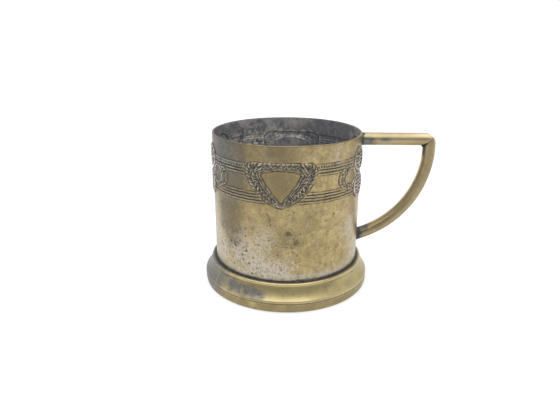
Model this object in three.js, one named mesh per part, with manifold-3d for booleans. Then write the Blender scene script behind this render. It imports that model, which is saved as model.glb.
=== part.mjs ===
// Tea glass holder: a rolled sheet sleeve with an embossed frieze, soldered onto a spun
// hollow foot, with a flat floor for the glass and a handle of two mitred round bars.
//
// Millimetres, +Z up. The origin is the middle of the floor that the glass stands on, and
// +X points to the handle. Heights in the dimensions below are measured from the table.
// Angles round the sleeve start at the front, which faces -Y, and grow towards the handle.

import * as THREE from 'three';
import { ParametricGeometry } from 'three/addons/geometries/ParametricGeometry.js';
import { mergeVertices } from 'three/addons/utils/BufferGeometryUtils.js';
import Module from 'manifold-3d';

const wasm = await Module();
wasm.setup();

// Sleeve
const sleeveRadius = 35;
const sleeveWall = 0.8;
const rimHeight = 74.6;
const rimEdge = 0.2;

// Foot, with its overhangs measured out from the sleeve
const ledgeHeight = 12.9;
const ledgeWidth = 4.5;
const footWall = 0.9;
const shoulderOverhang = 2.3;
const shoulderBead = 0.9;
const creaseDepth = 0.45;
const flareOverhang = 4.1;
const flareHeight = 7.9;
const footOverhang = 5.5;
const grooveHeight = 4.4;
const grooveDepth = 0.3;
const baseRounding = 1.5;
const restingRing = 2.4;

// Floor
const floorThickness = 0.8;
const floorClearance = 0.3;
const floorRebate = 0.2;

// Handle, with its reach measured out from the sleeve to the corner of the bars' centre lines
const barRadius = 2.8;
const armDrop = 3.95;
const cornerReach = 32;
const bowBulge = 10.5;
const lowerJointHeight = 22.3;
const cornerRounding = 4.8;
const mitreGap = 0.3;

// Solder
const solderGap = 0.15;
const ringFillet = 1.1;
const floorFillet = 0.8;
const collarLength = 2.4;
const collarFlare = 0.6;
const collarLip = 0.25;
const cornerFillet = 2.6;
const cornerFilletWidth = 3.4;

// Frieze: heights of its rails, then the shields and knots between them
const friezeTurn = -4;
const lowerRailHeight = 49.5;
const upperRailHeight = 61.5;
const railRidges = 4;
const ridgePitch = 1.3;
const ridgeFoot = 1;
const railGround = 0.15;
const railRelief = 0.5;

const shieldRelief = 0.8;
const shieldTop = 67.3;
const shieldPoint = 47.6;
const shieldWidth = 31.8;
const shieldCorner = 4;
const shieldTip = 1.6;
const fieldTop = 62.9;
const fieldPoint = 50;
const fieldWidth = 17;
const fieldCorner = 0.5;
const fieldCrown = 1.6;

const lobeRelief = 0.75;
const lobeSpacing = 20.8;
const lobeWidth = 13;
const lobeHeight = 11.8;
const lobeBand = 2.4;
const lowerLobeMiddle = 52.4;
const upperLobeMiddle = 64.4;

const eyeRelief = 0.62;
const eyeSpacing = 39;
const eyeWidth = 17.6;
const eyeHeight = 11.6;
const eyeMiddle = 58;
const windowWidth = 7.2;
const windowHeight = 6.8;

const bandBevel = 0.22;
const bandCrown = 0.25;
const embossRoot = 0.5;

// Facets
const turnSides = 48;
const barSides = 20;
const bowSteps = 24;
const curveSteps = 4;
const ovalPoints = 18;
const cornerPoints = 4;
const sidePoints = 5;

// Sizes that follow from those above
const boreRadius = sleeveRadius - sleeveWall;
const seatHeight = ledgeHeight + floorThickness;
const armHeight = rimHeight - armDrop;
const cornerX = sleeveRadius + cornerReach;
const collarRadius = barRadius + solderGap + collarLip + collarFlare;
const halfTurn = Math.PI;
const cutSize = 4 * rimHeight;

// A closed geometry as a solid that can be joined and cut
function solid(geometry) {
  const bare = geometry.clone();
  bare.deleteAttribute('normal');
  bare.deleteAttribute('uv');
  const merged = mergeVertices(bare, 1e-4);
  return new wasm.Manifold(new wasm.Mesh({
    numProp: 3,
    vertProperties: new Float32Array(merged.attributes.position.array),
    triVerts: new Uint32Array(merged.index.array),
  }));
}

// A solid back as a geometry
function geometryOf(body) {
  const mesh = body.getMesh();
  const geometry = new THREE.BufferGeometry();
  geometry.setAttribute('position', new THREE.BufferAttribute(mesh.vertProperties, 3));
  geometry.setIndex(new THREE.BufferAttribute(mesh.triVerts, 1));
  geometry.computeVertexNormals();
  return geometry;
}

// A section of [radius, height] points, anticlockwise, turned about the Z axis
function turned(section, sides = turnSides) {
  const points = section.map(([radius, height]) => new THREE.Vector2(radius, height));
  return new THREE.LatheGeometry(points, sides).rotateX(halfTurn / 2);
}

// The same for a ring, whose section closes on itself
function ring(section) {
  return turned([...section, section[0]]);
}

// A solid cylinder about the Z axis with the facets of the turned pieces
function core(radius) {
  return solid(turned([[0, 0], [radius, 0], [radius, 2 * rimHeight], [0, 2 * rimHeight]]));
}

// The place on the sleeve of a point of the flat frieze: x runs along the girth and y up
function wrapped(point, lift, middleAngle, target) {
  const angle = middleAngle + point.x / sleeveRadius;
  const radius = sleeveRadius + lift;
  return target.set(radius * Math.sin(angle), -radius * Math.cos(angle), point.y);
}

// A raised band between two closed outlines of as many points, with bevelled edges and a
// crowned middle, rooted in the sleeve's wall
function embossed([outer, inner], relief, middleAngle) {
  const section = [
    [0, -embossRoot],
    [bandBevel, relief - bandCrown],
    [0.5, relief],
    [1 - bandBevel, relief - bandCrown],
    [1, -embossRoot],
  ];
  const stations = outer.length;
  const surface = (u, v, target) => {
    const station = Math.round(u * stations) % stations;
    const [across, lift] = section[Math.round(v * section.length) % section.length];
    const point = outer[station].clone().lerp(inner[station], across);
    wrapped(point, lift, middleAngle, target);
  };
  return solid(new ParametricGeometry(surface, stations, section.length));
}

// Frieze rail: parallel ridges on a low band, from one angle to another
function rail(height, fromAngle, toAngle) {
  const root = sleeveRadius - embossRoot;
  const ground = sleeveRadius + railGround;
  const crest = sleeveRadius + railRelief;
  const section = [[root, height]];
  for (let i = 0; i < railRidges; i += 1) {
    const start = height + i * ridgePitch;
    section.push([ground, start], [crest, start + ridgeFoot / 2], [ground, start + ridgeFoot]);
  }
  section.push([root, height + (railRidges - 1) * ridgePitch + ridgeFoot]);
  return solid(ring(section)).intersect(sector(fromAngle, toAngle));
}

// A wedge about the Z axis that covers the sleeve between two angles
function sector(fromAngle, toAngle) {
  const reach = 2 * sleeveRadius;
  const outline = [new THREE.Vector2(0, 0)];
  for (const angle of [fromAngle, (fromAngle + toAngle) / 2, toAngle]) {
    outline.push(new THREE.Vector2(reach * Math.sin(angle), -reach * Math.cos(angle)));
  }
  const shape = new THREE.Shape(outline);
  return solid(new THREE.ExtrudeGeometry(shape, { depth: rimHeight, bevelEnabled: false }));
}

// Outline round three circles, anticlockwise, whose last side may be arched by a crown
function roundedTriangle(circles, crown) {
  const normals = circles.map((circle, i) => {
    const next = circles[(i + 1) % circles.length];
    const way = next.middle.clone().sub(circle.middle);
    return way.angle() - Math.acos((circle.radius - next.radius) / way.length());
  });
  const onCircle = ({ middle, radius }, angle) => (
    new THREE.Vector2(radius, 0).rotateAround(new THREE.Vector2(), angle).add(middle)
  );
  const points = [];
  circles.forEach((circle, i) => {
    const from = normals[(i + circles.length - 1) % circles.length];
    const sweep = THREE.MathUtils.euclideanModulo(normals[i] - from, 2 * halfTurn);
    for (let k = 0; k < cornerPoints; k += 1) {
      points.push(onCircle(circle, from + sweep * k / (cornerPoints - 1)));
    }
    const start = onCircle(circle, normals[i]);
    const end = onCircle(circles[(i + 1) % circles.length], normals[i]);
    const arch = i === 1 ? crown : 0;
    for (let k = 1; k <= sidePoints; k += 1) {
      const share = k / (sidePoints + 1);
      const point = start.clone().lerp(end, share);
      point.y += arch * 4 * share * (1 - share);
      points.push(point);
    }
  });
  return points;
}

// Circles of a shield outline with its point down: tip, right corner and left corner
function shieldCircles(width, top, tip, cornerRadius, tipRadius) {
  const sideX = width / 2 - cornerRadius;
  const sideY = top - cornerRadius;
  return [
    { middle: new THREE.Vector2(0, tip + tipRadius), radius: tipRadius },
    { middle: new THREE.Vector2(sideX, sideY), radius: cornerRadius },
    { middle: new THREE.Vector2(-sideX, sideY), radius: cornerRadius },
  ];
}

// Shield frame: a broad band round a plain pointed field
function shieldBand() {
  const frame = shieldCircles(shieldWidth, shieldTop, shieldPoint, shieldCorner, shieldTip);
  const field = shieldCircles(fieldWidth, fieldTop, fieldPoint, fieldCorner, fieldCorner);
  return [roundedTriangle(frame, 0), roundedTriangle(field, fieldCrown)];
}

// Points of an upright oval
function oval(middleX, middleY, width, height) {
  const points = [];
  for (let i = 0; i < ovalPoints; i += 1) {
    const angle = 2 * halfTurn * i / ovalPoints;
    const x = middleX + Math.cos(angle) * width / 2;
    points.push(new THREE.Vector2(x, middleY + Math.sin(angle) * height / 2));
  }
  return points;
}

// Knot lobe: a round band that reaches beyond the rail that runs under it
function lobeBandAt(middleX, middleY) {
  const outer = oval(middleX, middleY, lobeWidth, lobeHeight);
  return [outer, oval(middleX, middleY, lobeWidth - 2 * lobeBand, lobeHeight - 2 * lobeBand)];
}

// Knot eye: a broad oval band about a plain window, between the rails
function eyeBandAt(middleX) {
  const outer = oval(middleX, eyeMiddle, eyeWidth, eyeHeight);
  return [outer, oval(middleX, eyeMiddle, windowWidth, windowHeight)];
}

// Everything raised from the sleeve: two shields, two knots and the rails between the shields
function frieze() {
  const shieldReach = (shieldWidth / 2 - shieldCorner) / sleeveRadius;
  const pointReach = shieldTip / sleeveRadius;
  const bands = [];
  for (const face of [0, halfTurn]) {
    const front = THREE.MathUtils.degToRad(friezeTurn) + face;
    const side = front + halfTurn / 2;
    const nextFront = front + halfTurn;
    bands.push(rail(upperRailHeight, front + shieldReach, nextFront - shieldReach));
    bands.push(rail(lowerRailHeight, front + pointReach, nextFront - pointReach));
    bands.push(embossed(shieldBand(), shieldRelief, front));
    for (const hand of [-1, 1]) {
      bands.push(embossed(eyeBandAt(hand * eyeSpacing / 2), eyeRelief, side));
      for (const middleY of [lowerLobeMiddle, upperLobeMiddle]) {
        bands.push(embossed(lobeBandAt(hand * lobeSpacing / 2, middleY), lobeRelief, side));
      }
    }
  }
  return bands.reduce((joined, band) => joined.add(band));
}

// Body sleeve: rolled sheet whose frieze is cleared where the handle's arm is soldered on
function bodySleeve() {
  const sheet = solid(ring([
    [boreRadius, ledgeHeight],
    [sleeveRadius, ledgeHeight],
    [sleeveRadius, rimHeight - rimEdge],
    [sleeveRadius - rimEdge, rimHeight],
    [boreRadius + rimEdge, rimHeight],
    [boreRadius, rimHeight - rimEdge],
  ]));
  const armSeat = armBar(collarRadius + 2 * solderGap);
  return geometryOf(sheet.add(frieze().subtract(armSeat)));
}

// One side of the foot's sheet, from the ledge down to the resting ring
function footSide(inset) {
  const shoulder = sleeveRadius + shoulderOverhang;
  const beadMiddle = shoulder - shoulderBead;
  const crease = ledgeHeight - 2 * shoulderBead;
  const flare = sleeveRadius + flareOverhang - inset;
  const widest = sleeveRadius + footOverhang - inset;
  const groove = inset === 0 ? grooveDepth : 0;
  const path = new THREE.Path();
  path.moveTo(sleeveRadius - ledgeWidth, ledgeHeight - inset);
  if (inset === 0) {
    path.lineTo(beadMiddle, ledgeHeight);
    path.absarc(beadMiddle, ledgeHeight - shoulderBead, shoulderBead, halfTurn / 2, -halfTurn / 4, true);
  }
  path.lineTo(shoulder - creaseDepth - inset, crease);
  path.quadraticCurveTo(flare, flareHeight, widest, grooveHeight + grooveDepth);
  path.lineTo(widest - groove, grooveHeight);
  path.lineTo(widest, grooveHeight - grooveDepth);
  path.lineTo(widest, baseRounding);
  path.quadraticCurveTo(widest, inset, widest - baseRounding + inset, inset);
  path.lineTo(sleeveRadius + footOverhang - baseRounding - restingRing, inset);
  const steps = inset === 0 ? curveSteps : curveSteps / 2;
  return path.getPoints(steps).map((point) => [point.x, point.y]);
}

// Foot moulding: hollow sheet ring that carries the sleeve and the floor on its ledge
function footMoulding() {
  return ring([...footSide(footWall), ...footSide(0).reverse()]);
}

// Floor disc: lies on the foot's ledge inside the sleeve, with a rebate round it for solder
function floorDisc() {
  const edge = boreRadius - floorClearance;
  const seatEdge = boreRadius - 2 * solderGap - floorFillet;
  return turned([
    [0, ledgeHeight],
    [edge, ledgeHeight],
    [edge, seatHeight - floorRebate],
    [seatEdge, seatHeight - floorRebate],
    [seatEdge, seatHeight],
    [0, seatHeight],
  ]);
}

// Solder in the corner of the sleeve and the foot's ledge
function footSolderRing() {
  const inside = sleeveRadius + solderGap;
  return ring([
    [inside, ledgeHeight],
    [inside + ringFillet, ledgeHeight],
    [inside + ringFillet / 3, ledgeHeight + ringFillet / 3],
    [inside, ledgeHeight + ringFillet],
  ]);
}

// Solder in the floor's rebate and up the sleeve's bore
function floorSolderRing() {
  const outside = boreRadius - solderGap;
  const rebate = seatHeight - floorRebate;
  return ring([
    [outside - floorFillet, rebate],
    [outside, rebate],
    [outside, rebate + floorFillet],
    [outside - floorFillet / 3, rebate + floorFillet / 3],
  ]);
}

// Centre line of the bow: an arc from the handle's corner down to the sleeve, drawn on past
// both ends so that its ends can be cut to fit
class BowLine extends THREE.Curve {
  constructor() {
    super();
    const corner = new THREE.Vector2(cornerX, armHeight);
    const foot = new THREE.Vector2(sleeveRadius, lowerJointHeight);
    const halfChord = corner.distanceTo(foot) / 2;
    const chord = corner.clone().sub(foot).normalize();
    this.radius = (halfChord ** 2 + bowBulge ** 2) / (2 * bowBulge);
    const inwards = this.radius - bowBulge;
    this.middle = corner.clone().add(foot).multiplyScalar(0.5);
    this.middle.add(new THREE.Vector2(-chord.y, chord.x).multiplyScalar(inwards));
    const overrun = 2 * barRadius / this.radius;
    this.cornerAngle = corner.clone().sub(this.middle).angle();
    this.jointAngle = foot.clone().sub(this.middle).angle() - 2 * halfTurn;
    this.startAngle = this.cornerAngle + overrun;
    this.endAngle = this.jointAngle - overrun;
  }

  pointAt(angle) {
    const x = this.middle.x + this.radius * Math.cos(angle);
    const z = this.middle.y + this.radius * Math.sin(angle);
    return new THREE.Vector3(x, 0, z);
  }

  getPoint(t) {
    return this.pointAt(this.startAngle + t * (this.endAngle - this.startAngle));
  }
}

const bowLine = new BowLine();

// A round bar along the bow, past both of its ends
function bowBar(radius) {
  const section = new THREE.Shape();
  section.absarc(0, 0, radius, 0, 2 * halfTurn, false);
  return solid(new THREE.ExtrudeGeometry(section, {
    steps: bowSteps,
    curveSegments: barSides / 2,
    extrudePath: bowLine,
  }));
}

// A round bar along the arm, past both of its ends
function armBar(radius) {
  const start = boreRadius - barRadius;
  const end = cornerX + 2 * barRadius;
  const bar = new THREE.CylinderGeometry(radius, radius, end - start, barSides);
  bar.rotateZ(-halfTurn / 2);
  bar.translate((start + end) / 2, 0, armHeight);
  return solid(bar);
}

// Half space on one side of the mitre plane, which halves the corner between the bars: the
// bow's side for a hand of 1, the arm's for -1
function mitreSide(hand) {
  const bowAngle = bowLine.cornerAngle - halfTurn / 2;
  const mitreAngle = (halfTurn + bowAngle) / 2 + halfTurn;
  const block = new THREE.BoxGeometry(cutSize, cutSize, cutSize);
  block.translate(0, 0, hand * (cutSize - mitreGap) / 2);
  block.rotateY(-mitreAngle);
  block.translate(cornerX, 0, armHeight);
  return solid(block);
}

// What is filed off the outer corner of the handle to round it
function cornerWaste() {
  const right = bowLine.middle.x + bowLine.radius + barRadius;
  const top = armHeight + barRadius;
  const shape = new THREE.Shape();
  shape.moveTo(right - cornerRounding, top);
  shape.absarc(right - cornerRounding, top - cornerRounding, cornerRounding, halfTurn / 2, 0, true);
  shape.lineTo(right + cornerRounding, top - cornerRounding);
  shape.lineTo(right + cornerRounding, top + cornerRounding);
  shape.lineTo(right - cornerRounding, top + cornerRounding);
  shape.closePath();
  const waste = new THREE.ExtrudeGeometry(shape, {
    depth: 4 * barRadius,
    bevelEnabled: false,
    curveSegments: curveSteps,
  });
  waste.translate(0, 0, -2 * barRadius);
  return solid(waste.rotateX(halfTurn / 2));
}

// Handle arm: level bar from the sleeve to the mitred corner
function handleTopArm() {
  const bar = armBar(barRadius).subtract(core(sleeveRadius + solderGap));
  return geometryOf(bar.subtract(mitreSide(1)).subtract(cornerWaste()));
}

// Handle bow: curved bar from the mitred corner back to the sleeve
function handleBow() {
  const bar = bowBar(barRadius).subtract(core(sleeveRadius + solderGap));
  return geometryOf(bar.subtract(mitreSide(-1)).subtract(cornerWaste()));
}

// Solder collar that widens towards the sleeve, round a bar that leaves it at a given slope
function jointSolder(height, slope, bar) {
  const lip = collarRadius - collarFlare;
  const root = -2 * barRadius;
  const section = [
    [0, root],
    [collarRadius, root],
    [collarRadius, 0],
    [lip + collarFlare / 4, collarLength / 3],
    [lip, collarLength],
    [0, collarLength],
  ];
  const collar = turned(section, barSides);
  collar.rotateY(halfTurn / 2 - slope);
  collar.translate(sleeveRadius, 0, height);
  return geometryOf(solid(collar).subtract(core(sleeveRadius + solderGap)).subtract(bar));
}

// Solder of the arm
function upperJointSolder() {
  return jointSolder(armHeight, 0, armBar(barRadius + solderGap));
}

// Solder of the bow, along the bow's own direction at the sleeve
function lowerJointSolder() {
  const slope = bowLine.jointAngle + halfTurn / 2;
  return jointSolder(lowerJointHeight, slope, bowBar(barRadius + solderGap));
}

// Solder in the inner corner of the mitre: a hollow fillet between the bars
function cornerSolder() {
  const cornerAtBow = bowLine.pointAt(bowLine.cornerAngle).x - barRadius;
  const cornerAtArm = armHeight - barRadius;
  const root = barRadius / 2;
  const shape = new THREE.Shape();
  shape.moveTo(cornerAtBow - cornerFillet, cornerAtArm);
  shape.quadraticCurveTo(cornerAtBow, cornerAtArm, cornerAtBow, cornerAtArm - cornerFillet);
  shape.lineTo(cornerAtBow + root, cornerAtArm - cornerFillet);
  shape.lineTo(cornerAtBow + root, cornerAtArm + root);
  shape.lineTo(cornerAtBow - cornerFillet, cornerAtArm + root);
  shape.closePath();
  const fillet = new THREE.ExtrudeGeometry(shape, {
    depth: cornerFilletWidth,
    bevelEnabled: false,
    curveSegments: curveSteps,
  });
  fillet.translate(0, 0, -cornerFilletWidth / 2);
  const bars = armBar(barRadius + solderGap).add(bowBar(barRadius + solderGap));
  return geometryOf(solid(fillet.rotateX(halfTurn / 2)).subtract(bars));
}

// Finishes: worn plate over brass, darker on the sheet's inside, and dull grey solder
const plate = { color: 0xa8987a, roughness: 0.38, metalness: 1 };
const brass = { color: 0xb09a66, roughness: 0.32, metalness: 1 };
const tarnish = { color: 0x5c6068, roughness: 0.55, metalness: 1 };
const solder = { color: 0x55585a, roughness: 0.6, metalness: 1 };

const pieces = {
  body_sleeve: [bodySleeve(), plate],
  foot_moulding: [footMoulding(), brass],
  floor_disc: [floorDisc(), tarnish],
  handle_top_arm: [handleTopArm(), brass],
  handle_bow: [handleBow(), brass],
  foot_solder_ring: [footSolderRing(), solder],
  floor_solder_ring: [floorSolderRing(), solder],
  upper_joint_solder: [upperJointSolder(), solder],
  lower_joint_solder: [lowerJointSolder(), solder],
  corner_solder: [cornerSolder(), solder],
};

const holder = new THREE.Group();
holder.position.z = -seatHeight;
for (const [name, [geometry, finish]] of Object.entries(pieces)) {
  const mesh = new THREE.Mesh(geometry, new THREE.MeshStandardMaterial(finish));
  mesh.name = name;
  holder.add(mesh);
}

export default holder;
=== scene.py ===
"""Tea glass holder of worn plated brass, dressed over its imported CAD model.

Shapes are worked out in millimetres, with heights above the table as in the CAD source, and
become metres in the model's own frame when a mesh is made. Angles round the holder start at
the front, which faces -Y, and grow towards the handle at +X.
"""

import math

import bpy
import numpy as np
from mathutils import Matrix, Vector


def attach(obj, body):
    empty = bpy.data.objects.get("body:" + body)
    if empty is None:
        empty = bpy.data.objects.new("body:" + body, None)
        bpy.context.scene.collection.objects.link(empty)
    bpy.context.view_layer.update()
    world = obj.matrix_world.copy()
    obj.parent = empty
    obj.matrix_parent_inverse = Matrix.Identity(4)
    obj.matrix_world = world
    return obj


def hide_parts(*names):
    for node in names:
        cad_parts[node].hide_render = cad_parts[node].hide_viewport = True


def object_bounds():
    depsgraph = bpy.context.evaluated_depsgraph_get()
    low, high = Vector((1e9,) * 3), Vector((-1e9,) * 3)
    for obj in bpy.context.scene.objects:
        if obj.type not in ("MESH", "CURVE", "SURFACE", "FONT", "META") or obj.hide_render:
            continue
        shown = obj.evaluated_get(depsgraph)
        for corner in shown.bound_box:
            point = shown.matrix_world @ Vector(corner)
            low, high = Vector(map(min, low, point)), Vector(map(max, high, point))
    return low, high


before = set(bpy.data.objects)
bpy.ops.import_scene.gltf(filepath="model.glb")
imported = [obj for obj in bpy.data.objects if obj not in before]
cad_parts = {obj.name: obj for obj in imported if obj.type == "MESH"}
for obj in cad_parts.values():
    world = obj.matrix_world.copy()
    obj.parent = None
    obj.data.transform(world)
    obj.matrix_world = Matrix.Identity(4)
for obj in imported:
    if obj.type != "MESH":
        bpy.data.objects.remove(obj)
cad_low, cad_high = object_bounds()

MILLIMETRE = 0.001
FULL_TURN = 2 * math.pi
SEAT_HEIGHT = -cad_low.z / MILLIMETRE

# Sleeve
SLEEVE_RADIUS = 35.0
SLEEVE_WALL = 0.8
LEDGE_HEIGHT = 12.9
RIM_HEIGHT = 74.6
COLUMNS = 960
FRIEZE_LOW = 45.6
FRIEZE_HIGH = 71.8
FRIEZE_STEP = 0.18
PLAIN_ROWS = 62
RIM_ROWS = 8

# Frieze, drawn flat: x along the girth from the middle of a shield, z up; fillets and rows of
# leaves lie at shares of the way across their band
FRIEZE_TURN = math.radians(-4.0)
SHIELD_TO_KNOT = SLEEVE_RADIUS * math.pi / 2
RAILS = (49.5, 61.5)
RIDGES = 4
RIDGE_PITCH = 1.3
RIDGE_FOOT = 1.0
RIDGE_HALF_WIDTH = 0.52
RAIL_RELIEF = 0.5
RAIL_MARGIN = (0.1, 0.6)
ROPE_PITCH = 1.2
ROPE_SLANT = 0.7
ROPE_HALF_WIDTH = 0.75
SHIELD = ((0.0, 49.2, 1.6), (11.9, 63.3, 4.0), (-11.9, 63.3, 4.0))
SHIELD_ARCHES = (2.6, 0.0, 2.6)
FIELD = ((0.0, 50.4, 0.5), (8.4, 62.2, 0.5), (-8.4, 62.2, 0.5))
FIELD_ARCHES = (0.4, 1.7, 0.4)
FIELD_RELIEF = 0.1
FILLETS = (0.08, 0.23)
FILLET_HALF_WIDTH = 0.075
FILLET_RELIEF = 0.62
SHIELD_LEAF_ROWS = (0.86, 0.62, 0.41)
SHIELD_LEAVES_FROM = 0.31
SHIELD_LEAF_RELIEF = 0.6
SHIELD_GROUND = 0.2
LOBE_RELIEF = 0.75
LOBE_MIDDLE = SHIELD_TO_KNOT - 10.4
LOBE_HEIGHTS = (52.4, 64.4)
LOBE_SIZE = (13.0, 11.8)
LOBE_RING = 0.95
HATCH_PITCH = 1.7
HATCH_DEPTH = 2.0
EYE_MIDDLE = (SHIELD_TO_KNOT - 19.5, 58.0)
EYE_SIZE = (17.6, 11.6)
WINDOW_SIZE = (7.2, 6.8)
WINDOW_RELIEF = 0.05
WINDOW_RING = 0.5
WINDOW_RING_RELIEF = 0.6
EYE_LEAF_ROWS = (0.8, 0.42)
EYE_LEAVES_FROM = 0.9
EYE_LEAF_RELIEF = 0.62
EYE_GROUND = 0.06
LEAF_PITCH = 2.0
LEAF_HALF_LENGTH = 1.55
LEAF_HALF_WIDTH = 0.64
LEAF_SLANT = math.radians(36.0)
SHAKE = (0.3, 0.6)
MOAT_WIDTH = 0.5
MOAT_DEPTH = 0.12
EDGE_ROUNDING = 0.3
REVERSE_SHARE = 0.85

# Foot
FOOT_INNER = 30.5
FOOT_WALL = 0.9
FOOT_SIDES = 288
BEAD_HEIGHT = 12.1
CREASE_HEIGHT = 11.05
LIP_HEIGHT = 5.3
GROOVE_HEIGHT = 4.45

# Floor and solder
FLOOR_RADIUS = 33.9
FLOOR_FLAT = 33.0
FLOOR_EDGE = SEAT_HEIGHT - 0.2
GLASS_RADIUS = 26.0
FLOOR_SIDES = 96
SOLDER_GAP = 0.05
FILLET_HOLLOW = 0.96
COLLAR_SIDES = 64
COLLAR_FLARE = 0.45

# Handle: arm along X and bow round a centre in the XZ plane
BAR_RADIUS = 2.95
BAR_SIDES = 48
BAR_SWELL = 0.006
ARM_ROWS = 72
BOW_ROWS = 120
ARM_HEIGHT = 70.65
CORNER = (67.0, ARM_HEIGHT)
BOW_CENTRE = (22.005, 65.665)
BOW_RADIUS = 45.27
LOWER_JOINT = (SLEEVE_RADIUS, 22.3)
CORNER_ROUNDING = 6.2
MITRE_GAP = 0.05
MITRE_BEAD = 0.85


# Shapes in numbers

def ramp(value, start, end):
    """Smooth step from 0 at start to 1 at end, which may be the lower one."""
    share = np.clip((value - start) / (end - start), 0, 1)
    return share * share * (3 - 2 * share)


def ridge(distance, half_width):
    """Rounded ridge: 1 on its crest and 0 from its foot outwards."""
    return np.clip(1 - (distance / half_width) ** 2, 0, 1)


def bell(value, middle, width):
    """Soft hump: 1 in its middle, and fading out on both sides."""
    return np.exp(-((value - middle) / width) ** 2)


def around(count):
    """Evenly spaced angles round a full turn."""
    return FULL_TURN * np.arange(count) / count


def wrapped(angle):
    """An angle brought to within half a turn of 0."""
    return (angle + math.pi) % FULL_TURN - math.pi


def placed(*coordinates):
    """Points from their coordinates, each spread to the shape of all."""
    return np.stack(np.broadcast_arrays(*coordinates), axis=-1)


def uneven(angle, height, seed, turns=(1, 7), rise=0.12, waves=8):
    """Hand-made unevenness round and along a piece, from about -1 to 1.

    Turns bounds its waves round the girth, and rise the slope of its waves with height.
    """
    random = np.random.default_rng(seed)
    total = 0
    for _ in range(waves):
        across = random.integers(*turns)
        slope = random.uniform(-rise, rise)
        total = total + np.sin(across * angle + slope * height + random.uniform(0, FULL_TURN))
    return total / math.sqrt(waves)


def lumps(angle, seed, finest=14):
    """Lumpy edge round a closed ring, from about -1 to 1."""
    random = np.random.default_rng(seed)
    total = 0
    for turns in range(2, finest):
        total = total + np.sin(turns * angle + random.uniform(0, FULL_TURN)) / math.sqrt(turns)
    return total / 2


def highest(*fields):
    """The greatest of several fields at each point."""
    return np.maximum.reduce(np.broadcast_arrays(*fields))


def blurred(field, times):
    """A field over girth (columns) and height (rows), smoothed between neighbours."""
    for _ in range(times):
        field = (np.roll(field, 1, axis=1) + 2 * field + np.roll(field, -1, axis=1)) / 4
        padded = np.pad(field, ((1, 1), (0, 0)), mode="edge")
        field = (padded[:-2] + 2 * padded[1:-1] + padded[2:]) / 4
    return field


def shaken(field, angle, height):
    """A field over girth and height, moved a little here and there as if it were cut by hand."""
    rows, columns = np.indices(field.shape)
    short_waves = {"turns": (14, 60), "rise": 0.9, "waves": 24}
    rows = rows + SHAKE[0] * uneven(angle, height, seed=61, **short_waves)
    columns = columns + SHAKE[1] * uneven(angle, height, seed=62, **short_waves)
    rows = np.clip(rows, 0, len(field) - 1.01)
    row, column = np.floor(rows).astype(int), np.floor(columns).astype(int)
    down, along = rows - row, columns - column
    left, right = column % field.shape[1], (column + 1) % field.shape[1]
    upper = field[row, left] * (1 - along) + field[row, right] * along
    lower = field[row + 1, left] * (1 - along) + field[row + 1, right] * along
    return upper * (1 - down) + lower * down


def oval(middle, size, angle):
    """Points of an upright oval at some angles."""
    across, up = np.array(size) / 2
    return placed(middle[0] + across * np.cos(angle), middle[1] + up * np.sin(angle))


def hull_outline(circles, arches, steps=14):
    """Outline round circles, given anticlockwise; each of its sides bulges out by its own arch."""
    circles = np.array(circles)
    following = np.roll(circles, -1, axis=0)
    way = following - circles
    length = np.hypot(way[:, 0], way[:, 1])
    normals = np.arctan2(way[:, 1], way[:, 0]) - np.arccos(-way[:, 2] / length)
    tilts = np.arctan(4 * np.array(arches) / length)

    def on_circle(circle, angle):
        return oval(circle[:2], 2 * circle[[2, 2]], angle)

    points = []
    for i, circle in enumerate(circles):
        first = normals[i - 1] + tilts[i - 1]
        sweep = (normals[i] - tilts[i] - first) % FULL_TURN
        points.extend(on_circle(circle, first + np.linspace(0, sweep, steps)))
        start, end = points[-1], on_circle(following[i], normals[i] + tilts[i])
        bulge = 2 * arches[i] * np.array([np.cos(normals[i]), np.sin(normals[i])])
        points.extend(bezier(start, (start + end) / 2 + bulge, end, steps)[:-1])
    return np.array(points)


def outline_distance(outline, x, z):
    """Distance to a closed outline, negative inside, and how far along it the nearest point is."""
    ends = np.roll(outline, -1, axis=0)
    lengths = np.hypot(*(ends - outline).T)
    starts_at = np.concatenate([[0], np.cumsum(lengths)[:-1]])
    nearest = np.full(x.shape, np.inf)
    along = np.zeros(x.shape)
    inside = np.zeros(x.shape, bool)
    for start, end, length, walked in zip(outline, ends, lengths, starts_at):
        way = (end - start) / length
        reach = np.clip((x - start[0]) * way[0] + (z - start[1]) * way[1], 0, length)
        gap = np.hypot(x - start[0] - reach * way[0], z - start[1] - reach * way[1])
        closer = gap < nearest
        nearest = np.where(closer, gap, nearest)
        along = np.where(closer, walked + reach, along)
        if start[1] != end[1]:
            crossing = start[0] + (z - start[1]) * way[0] / way[1]
            inside ^= ((start[1] > z) != (end[1] > z)) & (x < crossing)
    return np.where(inside, -nearest, nearest), along


def bezier(start, control, end, points):
    """Points of a quadratic curve, without its start."""
    share = np.linspace(0, 1, points + 1)[1:, None]
    start, control, end = map(np.array, (start, control, end))
    return (1 - share) ** 2 * start + 2 * share * (1 - share) * control + share ** 2 * end


def curves(start, *pieces):
    """Points of quadratic curves end to end; each is a control, an end and a number of points."""
    points = []
    for control, end, count in pieces:
        points.append(bezier(start, control, end, count))
        start = end
    return np.concatenate(points)


def level_run(start, end, height, points):
    """Points of a level line in radius and height."""
    return placed(np.linspace(start, end, points), height)


# Frieze

OVAL_ANGLES = around(72)


def lay(under, over, distance):
    """One raised form laid over another, with a sunk line round its edge."""
    moat = ramp(distance, MOAT_WIDTH, 0.1)
    ground = under * (1 - moat) - MOAT_DEPTH * moat
    edge = ramp(-distance, 0, EDGE_ROUNDING)
    return np.where(distance < 0, over * edge - MOAT_DEPTH * (1 - edge), ground)


def chance(number, seed):
    """A value from -1 to 1 for each whole number, in no order."""
    values = np.random.default_rng(seed).uniform(-1, 1, 64)
    return values[number.astype(int) % len(values)]


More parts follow.
